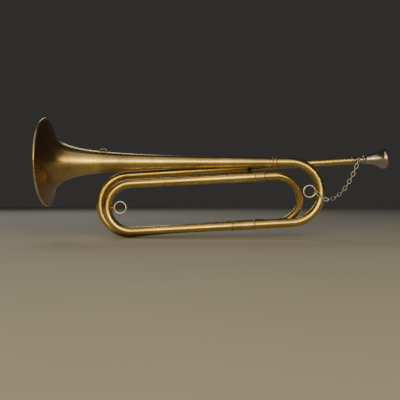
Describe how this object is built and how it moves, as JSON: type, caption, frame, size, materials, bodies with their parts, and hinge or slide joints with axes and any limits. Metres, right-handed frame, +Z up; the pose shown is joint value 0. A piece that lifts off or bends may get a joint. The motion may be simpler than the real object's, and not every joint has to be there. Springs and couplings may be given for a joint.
{
  "type": "bugle",
  "caption": "Long-belled brass bugle wound in a flat oval, with a pull-out tuning slide, two cord rings and a cup mouthpiece held by a fine link chain.",
  "frame": {"origin": "centre of the bell mouth, in the plane of the flattened rim", "axes": "+X along the bell from its mouth towards the mouthpiece, +Z up, +Y from the front loop towards the back loop"},
  "size_m": [0.447, 0.1142, 0.1559],
  "materials": {
    "aged_brass": "polished, aged lacquer",
    "brass_fittings": "polished, aged lacquer",
    "slide_brass": "polished, worn by the slide",
    "nickel": "dull nickel",
    "mouthpiece_plate": "worn silver plate over brass"
  },
  "bodies": {
    "bugle": {"bell_rim_wire": "brass_fittings", "bell_flare": "aged_brass", "bell_stem": "aged_brass", "bell_staple": "brass_fittings", "bell_ferrule": "brass_fittings", "bell_bow": "aged_brass", "lower_front_ferrule": "brass_fittings", "lower_front_tube": "aged_brass", "near_left_bow": "aged_brass", "upper_front_tube": "aged_brass", "upper_step_ferrule": "brass_fittings", "upper_slide_sleeve": "aged_brass", "upper_slide_ferrule": "brass_fittings", "lower_slide_ferrule": "brass_fittings", "lower_slide_sleeve": "aged_brass", "lower_step_ferrule": "brass_fittings", "lower_back_tube": "aged_brass", "far_left_bow": "aged_brass", "mouthpipe": "aged_brass", "mouthpipe_receiver": "aged_brass", "left_ring_lug": "brass_fittings", "right_ring_lug": "brass_fittings", "chain_anchor": "nickel", "sleeve_brace": "brass_fittings", "bell_brace": "brass_fittings", "lower_left_brace": "brass_fittings", "lower_right_brace": "brass_fittings"},
    "tuning_slide": {"tuning_slide_bow": "slide_brass", "tuning_slide_upper_leg": "slide_brass", "tuning_slide_lower_leg": "slide_brass"},
    "left_ring": {"left_cord_ring": "nickel"},
    "right_ring": {"right_cord_ring": "nickel"},
    "mouthpiece": {"mouthpiece": "mouthpiece_plate", "mouthpiece_collar": "mouthpiece_plate"},
    "chain_link_01": {"chain_link_01": "nickel"},
    "chain_link_02": {"chain_link_02": "nickel"},
    "chain_link_03": {"chain_link_03": "nickel"},
    "chain_link_04": {"chain_link_04": "nickel"},
    "chain_link_05": {"chain_link_05": "nickel"},
    "chain_link_06": {"chain_link_06": "nickel"},
    "chain_link_07": {"chain_link_07": "nickel"},
    "chain_link_08": {"chain_link_08": "nickel"},
    "chain_link_09": {"chain_link_09": "nickel"},
    "chain_link_10": {"chain_link_10": "nickel"},
    "chain_link_11": {"chain_link_11": "nickel"},
    "chain_link_12": {"chain_link_12": "nickel"},
    "chain_link_13": {"chain_link_13": "nickel"},
    "chain_link_14": {"chain_link_14": "nickel"},
    "chain_link_15": {"chain_link_15": "nickel"},
    "chain_link_16": {"chain_link_16": "nickel"}
  },
  "joints": [
    {"name": "tuning_slide_pull", "type": "slide", "parent": "bugle", "child": "tuning_slide", "axis": [0.9985, 0, 0.0541], "range_m": [0, 0.012]},
    {"name": "left_ring_swing", "type": "hinge", "parent": "bugle", "child": "left_ring", "pos_m": [0.0884, 0, -0.059], "axis": [0, 0, 1], "range_deg": [-90, 90]},
    {"name": "right_ring_swing", "type": "hinge", "parent": "bugle", "child": "right_ring", "pos_m": [0.3484, -0.0044, -0.038], "axis": [0, 0, 1], "range_deg": [0, 90]},
    {"name": "mouthpiece_pull", "type": "slide", "parent": "bugle", "child": "mouthpiece", "axis": [0.9978, 0, 0.0663], "range_m": [0, 0.012]},
    {"name": "chain_link_01_hinge", "type": "hinge", "parent": "bugle", "child": "chain_link_01", "pos_m": [0.3496, -0.0083, -0.0394], "axis": [0.359, -0.9263, -0.1141], "range_deg": [-0.5, 26.73]},
    {"name": "chain_link_02_hinge", "type": "hinge", "parent": "chain_link_01", "child": "chain_link_02", "pos_m": [0.35355, -0.00862, -0.0435], "axis": [0.2711, -0.6993, 0.6614], "range_deg": [-0.5, 2.82]},
    {"name": "chain_link_03_hinge", "type": "hinge", "parent": "chain_link_02", "child": "chain_link_03", "pos_m": [0.3579, -0.00896, -0.04716], "axis": [0.3527, -0.9099, -0.2185], "range_deg": [-8.88, 0.5]},
    {"name": "chain_link_04_hinge", "type": "hinge", "parent": "chain_link_03", "child": "chain_link_04", "pos_m": [0.36324, -0.00939, -0.04911], "axis": [0.3463, -0.8934, 0.2862], "range_deg": [-12.81, 0.5]},
    {"name": "chain_link_05_hinge", "type": "hinge", "parent": "chain_link_04", "child": "chain_link_05", "pos_m": [0.36846, -0.00737, -0.04805], "axis": [0.3614, -0.9323, 0.013], "range_deg": [-4.72, 0.5]},
    {"name": "chain_link_06_hinge", "type": "hinge", "parent": "chain_link_05", "child": "chain_link_06", "pos_m": [0.37344, -0.00544, -0.04605], "axis": [0.3584, -0.9247, 0.1287], "range_deg": [-3.47, 0.5]},
    {"name": "chain_link_07_hinge", "type": "hinge", "parent": "chain_link_06", "child": "chain_link_07", "pos_m": [0.37807, -0.00364, -0.04327], "axis": [0.3603, -0.9296, 0.0777], "range_deg": [-3.04, 0.5]},
    {"name": "chain_link_08_hinge", "type": "hinge", "parent": "chain_link_07", "child": "chain_link_08", "pos_m": [0.38234, -0.00199, -0.03986], "axis": [0.3599, -0.9286, -0.0899], "range_deg": [-2.56, 0.5]},
    {"name": "chain_link_09_hinge", "type": "hinge", "parent": "chain_link_08", "child": "chain_link_09", "pos_m": [0.38623, -0.00048, -0.03599], "axis": [0.3186, -0.822, -0.4721], "range_deg": [-3.47, 0.5]},
    {"name": "chain_link_10_hinge", "type": "hinge", "parent": "chain_link_09", "child": "chain_link_10", "pos_m": [0.38978, 0.0009, -0.03174], "axis": [0.359, -0.9263, -0.1142], "range_deg": [-6.7, 0.5]},
    {"name": "chain_link_11_hinge", "type": "hinge", "parent": "chain_link_10", "child": "chain_link_11", "pos_m": [0.39302, 0.00215, -0.02723], "axis": [0.1185, -0.3057, 0.9447], "range_deg": [-10.71, 0.5]},
    {"name": "chain_link_12_hinge", "type": "hinge", "parent": "chain_link_11", "child": "chain_link_12", "pos_m": [0.39599, 0.0033, -0.0225], "axis": [0.3485, -0.8991, -0.265], "range_deg": [-0.5, 8.78]},
    {"name": "chain_link_13_hinge", "type": "hinge", "parent": "chain_link_12", "child": "chain_link_13", "pos_m": [0.39873, 0.00436, -0.01761], "axis": [0.0985, -0.2541, -0.9621], "range_deg": [-10.26, 0.5]},
    {"name": "chain_link_14_hinge", "type": "hinge", "parent": "chain_link_13", "child": "chain_link_14", "pos_m": [0.40125, 0.00534, -0.01259], "axis": [0.3573, -0.9218, 0.1501], "range_deg": [-5, 0.5]},
    {"name": "chain_link_15_hinge", "type": "hinge", "parent": "chain_link_14", "child": "chain_link_15", "pos_m": [0.40359, 0.00625, -0.00748], "axis": [0.1587, -0.4094, 0.8984], "range_deg": [-2.26, 0.5]},
    {"name": "chain_link_16_hinge", "type": "hinge", "parent": "chain_link_15", "child": "chain_link_16", "pos_m": [0.40577, 0.00709, -0.00228], "axis": [0.3325, -0.858, 0.3915], "range_deg": [-1.2, 0.5]}
  ],
  "couplings": [
    {"joint": "chain_link_01_hinge", "follows": "mouthpiece_pull", "rad_per_m": 37.404},
    {"joint": "chain_link_02_hinge", "follows": "mouthpiece_pull", "rad_per_m": 3.3028},
    {"joint": "chain_link_03_hinge", "follows": "mouthpiece_pull", "rad_per_m": -11.949},
    {"joint": "chain_link_04_hinge", "follows": "mouthpiece_pull", "rad_per_m": -17.554},
    {"joint": "chain_link_05_hinge", "follows": "mouthpiece_pull", "rad_per_m": -6.0202},
    {"joint": "chain_link_06_hinge", "follows": "mouthpiece_pull", "rad_per_m": -4.2286},
    {"joint": "chain_link_07_hinge", "follows": "mouthpiece_pull", "rad_per_m": -3.6162},
    {"joint": "chain_link_08_hinge", "follows": "mouthpiece_pull", "rad_per_m": -2.9375},
    {"joint": "chain_link_09_hinge", "follows": "mouthpiece_pull", "rad_per_m": -4.2299},
    {"joint": "chain_link_10_hinge", "follows": "mouthpiece_pull", "rad_per_m": -8.8395},
    {"joint": "chain_link_11_hinge", "follows": "mouthpiece_pull", "rad_per_m": -14.558},
    {"joint": "chain_link_12_hinge", "follows": "mouthpiece_pull", "rad_per_m": 11.802},
    {"joint": "chain_link_13_hinge", "follows": "mouthpiece_pull", "rad_per_m": -13.915},
    {"joint": "chain_link_14_hinge", "follows": "mouthpiece_pull", "rad_per_m": -6.4185},
    {"joint": "chain_link_15_hinge", "follows": "mouthpiece_pull", "rad_per_m": -2.5075},
    {"joint": "chain_link_16_hinge", "follows": "mouthpiece_pull", "rad_per_m": -1.0015}
  ]
}
